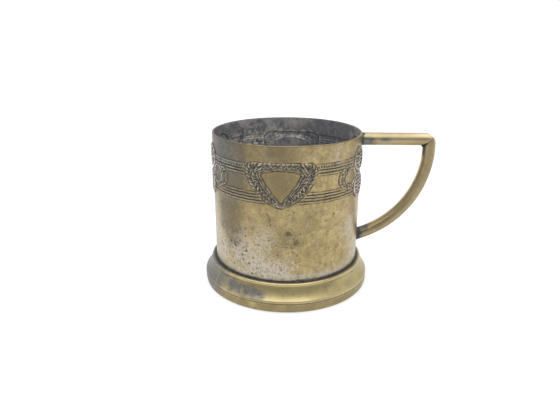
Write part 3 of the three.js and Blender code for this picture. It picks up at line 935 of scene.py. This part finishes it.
class Surface(Nodes):
    """A metal whose colour, roughness and relief are laid on in layers of nodes."""

    def __init__(self, name, colour, roughness):
        self.material = bpy.data.materials.new(name)
        super().__init__(self.material)
        self.place = self.value("TexCoord", {}, "Object")
        self.looks = {
            "Base Color": (*colour, 1.0),
            "Roughness": roughness,
            "Metallic": 1.0,
            "Specular IOR Level": 0.5,
        }

    def mark(self, name):
        """A value that the mesh carries at its points."""
        return self.value("Attribute", {}, "Fac", attribute_name=name)

    def _texture(self, kind, size, stretch, shift, inputs):
        moved = {"Vector": self.place, "Scale": stretch, "Location": (shift, shift, shift)}
        place = self.value("Mapping", moved)
        return self.value(kind, {"Vector": place, "Scale": 1 / (size * MILLIMETRE), **inputs})

    def noise(self, size, detail=5.0, rough=0.6, stretch=(1, 1, 1), shift=0.0, warp=0.0):
        """Cloudy noise with clouds about size millimetres wide."""
        inputs = {"Detail": detail, "Roughness": rough, "Distortion": warp}
        return self._texture("TexNoise", size, stretch, shift, inputs)

    def cells(self, size, shift):
        """Distance from scattered points about size millimetres apart."""
        return self._texture("TexVoronoi", size, (1, 1, 1), shift, {})

    def layer(self, factor, colour=None, roughness=None, metallic=None, specular=None):
        """Lays a colour, a roughness, a share of bare metal or a sheen over what is there."""
        over = (colour and (*colour, 1.0), roughness, metallic, specular)
        for name, top in zip(("Base Color", "Roughness", "Metallic", "Specular IOR Level"), over):
            if top is not None:
                first, output, kind = (6, 2, "RGBA") if name == "Base Color" else (2, 0, "FLOAT")
                inputs = {0: factor, first: self.looks[name], first + 1: top}
                self.looks[name] = self.value("Mix", inputs, output, data_type=kind)

    def emboss(self, height, depth):
        """Adds relief of a depth in millimetres, as shading."""
        inputs = {"Distance": depth * MILLIMETRE, "Height": height}
        if "Normal" in self.looks:
            inputs["Normal"] = self.looks["Normal"]
        self.looks["Normal"] = self.value("Bump", inputs)

    def finish(self):
        """Joins the layers to the shader."""
        self.put("Principled BSDF", self.looks)
        return self.material


BRASS = (0.445, 0.348, 0.172)
FOOT_BRASS = (0.485, 0.403, 0.203)
BAR_BRASS = (0.4, 0.325, 0.195)
BRASS_DEEP = (0.28, 0.21, 0.1)
BRASS_WEAR_AND_HIGHLIGHT = (0.66, 0.56, 0.37)
CREST = (0.66, 0.575, 0.41)
COOL_CREST = (0.7, 0.69, 0.67)
COOL_GREY = (0.122, 0.127, 0.138)
SILVER = (0.5, 0.457, 0.38)
GREY = (0.102, 0.101, 0.1)
FOOT_GREY = (0.166, 0.166, 0.168)
OLIVE = (0.2, 0.16, 0.085)
RUST = (0.26, 0.12, 0.07)
PATINA = (0.1, 0.094, 0.082)
PIT = (0.115, 0.1, 0.07)
GRIME_AND_SHADE = (0.05, 0.046, 0.04)
SLATE = (0.26, 0.262, 0.278)
SLATE_WORN = (0.46, 0.435, 0.39)
SLATE_LINE = (0.74, 0.68, 0.57)
SLATE_DIRT = (0.1, 0.105, 0.13)
SLATE_GROOVE = (0.05, 0.052, 0.06)
SOLDER = (0.06, 0.064, 0.074)
TIN = (0.15, 0.142, 0.125)
TIN_DARK = (0.085, 0.083, 0.08)
SOLDER_DULL = (0.15, 0.153, 0.16)
FLOOR_DARK = (0.08, 0.078, 0.075)


def wear_marks(metal, depth):
    """Rubbed clouds, fine scratches and shallow waves of a depth in millimetres."""
    rubbed = metal.noise(2.2, detail=6.0, shift=0.31)
    metal.layer(rubbed.level(0.5, 0.75), roughness=0.4)
    scratch = metal.noise(0.35, detail=2.0, stretch=(1, 1, 0.06), shift=0.53)
    scrape = metal.noise(0.4, detail=2.0, stretch=(0.12, 0.12, 1.6), shift=0.71)
    metal.emboss(scratch.level(0.66, 0.74) + scrape.level(0.68, 0.76), -depth)
    metal.emboss(metal.noise(0.9, detail=3.0, shift=0.17), 1.5 * depth)


def plate_metal():
    """Sleeve: brass that shows through worn silvery plate, with a soiled frieze, painted shade at the
    back of the rim and round the joints, and painted reflections and highlights on some crests.
    """
    metal = Surface("worn_plate", BRASS, 0.32)
    clouds = metal.noise(5.0, detail=8.0, rough=0.68, warp=0.4)
    metal.layer(clouds.level(0.42, 0.64) * 0.7, BRASS_DEEP)
    fine_clouds = metal.noise(1.6, detail=6.0, rough=0.7, shift=0.11)
    rubbed = metal.noise(3.0, detail=6.0, shift=0.47)
    metal.layer(rubbed.level(0.5, 0.7) * 0.3, BRASS_WEAR_AND_HIGHLIGHT, 0.3)

    silver = metal.mark("silver") + metal.noise(6.0, shift=0.23) * 0.9 + fine_clouds * 0.9
    metal.layer(silver.level(1.0, 1.7) * 0.9, SILVER, 0.36)

    dark = metal.mark("dark") + metal.noise(6.0, shift=0.37) * 1.2 + fine_clouds * 0.6
    cover = fine_clouds.level(0.3, 0.58) * 0.5 + 0.5
    metal.layer(dark.level(1.1, 1.9) * cover, GREY, 0.45)
    age_and_shade = metal.mark("age_and_shade") + fine_clouds * 0.6
    metal.layer(age_and_shade.level(0.35, 1.2) * 0.75, OLIVE, 0.42)

    smudges = metal.noise(2.6, detail=6.0, rough=0.66, shift=0.43)
    metal.layer(smudges.level(0.5, 0.66) * 0.42, OLIVE, 0.44)
    pitted = (metal.mark("pitted") + metal.noise(4.0, shift=0.77) * 0.8).level(0.5, 0.9)
    mottle = metal.noise(1.1, detail=6.0, rough=0.72, shift=0.45).level(0.5, 0.64)
    metal.layer(mottle * (pitted * 0.3 + 0.46), OLIVE, 0.48)
    flecks = metal.noise(0.8, detail=4.0, rough=0.7, shift=0.67).level(0.56, 0.68)
    metal.layer(flecks * silver.level(0.75, 1.3) * 0.6, SILVER, 0.34)
    grain = metal.noise(0.6, detail=3.0, rough=0.6, shift=0.49)
    metal.layer(grain.level(0.52, 0.66) * 0.44, OLIVE, 0.45)

    pits = metal.cells(1.5, shift=0.61) + metal.noise(1.7, shift=0.63) * 1.1
    pits = pits.level(0.8, 0.64) * pitted
    metal.layer(pits * 0.66, PIT, 0.6)
    spots = (metal.mark("spot") + fine_clouds * 0.45).level(0.55, 0.85)
    metal.layer(spots * 0.75, PIT, 0.6)
    red = metal.mark("red") + fine_clouds * 0.4
    metal.layer(red.level(0.4, 0.95) * 0.55, RUST)

    ornament = metal.mark("ornament") + metal.noise(2.5, shift=0.59) * 0.6
    metal.layer(ornament.level(0.3, 1.1) * 0.86, PATINA, 0.45)
    cool = metal.mark("cool")
    metal.layer(cool * 0.5, COOL_GREY, 0.42)
    # Patina in the frieze's hollows, with painted shade round the joints and at the back of the rim
    filled = metal.noise(2.6, detail=4.0, shift=0.29).level(0.3, 0.6) * 0.45 + 0.6
    shade_and_dirt = metal.mark("cavity") * filled + metal.noise(0.8, shift=0.83) * 0.3
    metal.layer(shade_and_dirt.level(0.18, 0.8) * 0.88, GRIME_AND_SHADE, 0.6, 0.1, 0.1)
    rub = metal.mark("crest") * fine_clouds.level(0.38, 0.58)
    metal.layer(rub * 0.6, CREST, 0.3)
    metal.layer(rub * cool * 0.4, COOL_CREST, 0.3)
    # Painted reflection: whitish crests near the sides of the frieze
    metal.layer(rub * metal.mark("painted_edge_glint") * 0.75, COOL_CREST, 0.3)

    inside = metal.mark("inside")
    metal.layer(inside, SLATE, 0.5, 0.4)
    inner_rub = metal.noise(4.0, detail=6.0, shift=0.91)
    metal.layer(inner_rub.level(0.42, 0.6) * inside * 0.6, SLATE_WORN, 0.42)
    inner_dirt = metal.noise(6.0, shift=0.97) + metal.mark("dark") * 0.3
    metal.layer(inner_dirt.level(0.5, 0.7) * inside * 0.7, SLATE_DIRT, 0.55)
    # Light lines on the inner relief: rubbed wear all round, with painted highlights where the inner
    # glint marks are
    rub_and_glint = metal.noise(1.8, detail=4.0, shift=0.57).level(0.45, 0.6)
    rub_and_glint = rub_and_glint * (metal.mark("inner_glint") * 2.1 + 0.36)
    metal.layer((metal.mark("crest") + 0.25) * inside * rub_and_glint, SLATE_LINE, 0.36)
    metal.layer(metal.mark("cavity") * inside * 0.45, SLATE_GROOVE, 0.6)

    wear_marks(metal, 0.006)
    metal.emboss(pits + spots, -0.04)
    return metal.finish()


def brass_metal(name, seed, colour, roughness):
    """Foot and handle: bare brass, rubbed bright where hands reach, with painted highlights on the
    raised edges and painted shade in the grooves, near the joints and in dark bands along the bow.
    """
    metal = Surface(name, colour, roughness)
    clouds = metal.noise(6.0, detail=6.0, warp=0.5, shift=seed)
    metal.layer(clouds.level(0.42, 0.7) * 0.5, BRASS_DEEP)
    fine_clouds = metal.noise(1.4, detail=6.0, rough=0.7, shift=seed + 0.11)
    metal.layer(fine_clouds.level(0.56, 0.74) * 0.3, OLIVE)
    # On the bow this also paints a dark reflection band
    age_and_shade = metal.mark("age_and_shade") + fine_clouds * 0.5
    metal.layer(age_and_shade.level(0.4, 1.2) * 0.7, OLIVE, 0.42)
    stains = metal.noise(3.5, detail=6.0, rough=0.7, warp=0.6, shift=seed + 0.2)
    # The dark mark also brings painted shade to the arm's lower side near the sleeve
    tarnish = (metal.mark("dark") + stains * 1.4 + fine_clouds * 0.8).level(1.25, 2.2)
    metal.layer(tarnish * 0.88, FOOT_GREY, 0.42)
    specks = metal.noise(1.6, detail=4.0, rough=0.7, shift=seed + 0.4)
    metal.layer(specks.level(0.54, 0.68) * tarnish * 0.6, GRIME_AND_SHADE, 0.5)
    pits = metal.cells(2.6, shift=seed + 0.3).level(0.12, 0.05)
    metal.layer(pits * 0.6, GRIME_AND_SHADE, 0.5)
    # Painted highlights, with rubbed wear, on the crests
    metal.layer(metal.mark("crest") * 0.35, BRASS_WEAR_AND_HIGHLIGHT, roughness - 0.06)
    # Painted shade in the foot's grooves, next to the sleeve and in dark bands along the bow, with a
    # dark joint line in the mitre seam
    shade_and_dirt = metal.mark("cavity") + fine_clouds * 0.3
    metal.layer(shade_and_dirt.level(0.35, 1.1) * 0.85, GRIME_AND_SHADE, 0.55, 0.5)
    metal.layer(metal.mark("inside") * 0.8, GREY, 0.55)
    wear_marks(metal, 0.001)
    metal.emboss(pits, -0.02)
    return metal.finish()


def floor_metal():
    """Floor: dark tarnish, with a ring rubbed by the glass."""
    metal = Surface("floor_tarnish_metal", SLATE, 0.45)
    clouds = metal.noise(9.0, detail=8.0, rough=0.65, warp=0.2, shift=0.2)
    metal.layer(clouds.level(0.35, 0.75) * 0.8, FLOOR_DARK, 0.58, 0.5)
    fine_clouds = metal.noise(1.2, detail=6.0, shift=0.4)
    metal.layer(fine_clouds.level(0.5, 0.7) * 0.5, OLIVE, 0.5)
    rub = metal.mark("crest") + fine_clouds * 0.7
    metal.layer(rub.level(0.7, 1.4) * 0.7, BRASS_DEEP, 0.35)
    metal.layer(metal.mark("cavity") * 0.7, GRIME_AND_SHADE, 0.65, 0.4)
    wear_marks(metal, 0.008)
    return metal.finish()


def solder_metal(name, colour):
    """Solder: dull grey, lumpy and dirty."""
    metal = Surface(name, colour, 0.62)
    clouds = metal.noise(1.3, detail=6.0, shift=0.15)
    metal.layer(clouds.level(0.5, 0.75), SOLDER_DULL, 0.55)
    metal.layer(metal.noise(2.5, shift=0.35).level(0.5, 0.75), GRIME_AND_SHADE)
    metal.emboss(metal.noise(0.9, detail=3.0, shift=0.55), 0.04)
    return metal.finish()


bar_brass = brass_metal("handle_brass_metal", 0.45, BAR_BRASS, 0.42)
solder = solder_metal("old_solder", SOLDER)
bow_end = math.atan2(LOWER_JOINT[1] - BOW_CENTRE[1], LOWER_JOINT[0] - BOW_CENTRE[0])

sleeve(plate_metal())
foot(brass_metal("foot_brass_metal", 0.05, FOOT_BRASS, 0.31))
floor_plate(floor_metal())
arm(bar_brass)
bow(bar_brass)
solder_ring(
    "foot_solder", "foot_solder_ring", SLEEVE_RADIUS, LEDGE_HEIGHT,
    reach=0.6, way=1, seed=51, material=solder,
)
solder_ring(
    "floor_solder", "floor_solder_ring", SLEEVE_RADIUS - SLEEVE_WALL, FLOOR_EDGE,
    reach=0.8, way=-1, seed=53, material=solder,
)
joint_solder(
    "arm_solder", "upper_joint_solder", (SLEEVE_RADIUS, ARM_HEIGHT),
    slope=0.0, length=1.2, seed=55, material=solder_metal("arm_joint_solder", TIN),
)
joint_solder(
    "bow_solder", "lower_joint_solder", LOWER_JOINT,
    slope=bow_end + math.pi / 2, length=1.8, seed=57,
    material=solder_metal("bow_joint_solder", TIN_DARK),
)
mitre_solder(solder)


# Light, table and camera

def shown_white(nodes, shown, lit_by):
    """Brightness for camera, glossy and transmitted rays, and for the rays that light things."""
    seen = nodes.value("LightPath", {}, "Is Camera Ray")
    for ray in ("Is Glossy Ray", "Is Transmission Ray"):
        other = nodes.value("LightPath", {}, ray)
        seen = nodes.value("Math", {0: seen, 1: other}, operation="MAXIMUM")
    return nodes.value("MapRange", {"Value": seen, "To Min": lit_by, "To Max": shown})


def studio_world():
    """White all round."""
    world = bpy.data.worlds.new("studio")
    nodes = Nodes(world)
    strength = shown_white(nodes, 1.0, 0.95)
    nodes.put("Background", {"Color": (1, 1, 1, 1), "Strength": strength})
    bpy.context.scene.world = world


def matte(name, grey, specular):
    """Dull grey material."""
    material = bpy.data.materials.new(name)
    looks = {"Base Color": (grey, grey, grey, 1), "Roughness": 1.0, "Specular IOR Level": specular}
    Nodes(material).put("Principled BSDF", looks)
    return material


def stage_sheet(name, corners, material):
    """Flat sheet that isn't part of the object."""
    mesh = bpy.data.meshes.new(name)
    mesh.from_pydata(corners, [], [(0, 1, 2, 3)])
    mesh.materials.append(material)
    sheet = added(name, mesh)
    return sheet


def table():
    """Pale floor that keeps a soft shadow."""
    material = matte("table_white", 0.95, specular=0.0)
    nodes = Nodes(material)
    dull = Value(nodes, nodes.tree.nodes["Principled BSDF"].outputs["BSDF"])
    glow = nodes.value("Emission", {"Strength": shown_white(nodes, 1.1, 0.0)})
    both = nodes.value("MixShader", {0: 0.5, 1: dull, 2: glow})
    nodes.put("Material Output", {"Surface": both})
    reach, low = 3.0, cad_low.z - 0.00005
    corners = [(x * reach, y * reach, low) for x, y in ((-1, -1), (1, -1), (1, 1), (-1, 1))]
    stage_sheet("table", corners, material)


def softbox(name, place, aim, size, power):
    """Rectangular soft lamp that points at a place."""
    light = bpy.data.lights.new(name, "AREA")
    light.shape = "RECTANGLE"
    light.size, light.size_y = size
    light.energy = power
    lamp = added(name, light)
    lamp.location = place
    lamp.rotation_euler = (Vector(aim) - Vector(place)).to_track_quat("-Z", "Y").to_euler()


def front_card(reach, distance, height, grey):
    """Grey card outside the picture that the metal mirrors as a darker band."""
    corners = [(-reach, -distance, 0), (reach, -distance, 0)]
    corners += [(reach, -distance, height), (-reach, -distance, height)]
    card = stage_sheet("front_card", corners, matte("front_card", grey, specular=0.5))
    card.visible_camera = False
    card.visible_shadow = False
    card.visible_diffuse = False


def camera():
    """Camera slightly above the rim, as in the photograph."""
    focal_pixels, image_width, sensor = 515.44, 560, 36.0
    pitch, yaw, roll = 0.3486, -0.0132, -0.0046
    distance, above_table = 0.24067, 0.12192
    data = bpy.data.cameras.new("camera")
    data.sensor_width = sensor
    data.lens = focal_pixels / image_width * sensor
    eye = added("camera", data)
    eye.matrix_world = (
        Matrix.Translation((0, -distance, above_table + cad_low.z))
        @ Matrix.Rotation(-yaw, 4, "Z")
        @ Matrix.Rotation(math.pi / 2 - pitch, 4, "X")
        @ Matrix.Rotation(-roll, 4, "Z")
    )
    bpy.context.scene.camera = eye


studio_world()
table()
softbox("top_light", place=(0, -0.2, 0.75), aim=(0, -0.2, 0), size=(1.0, 1.2), power=5.2)
front_card(reach=0.9, distance=0.36, height=0.3, grey=0.42)
camera()

bpy.context.scene.view_settings.view_transform = "Standard"
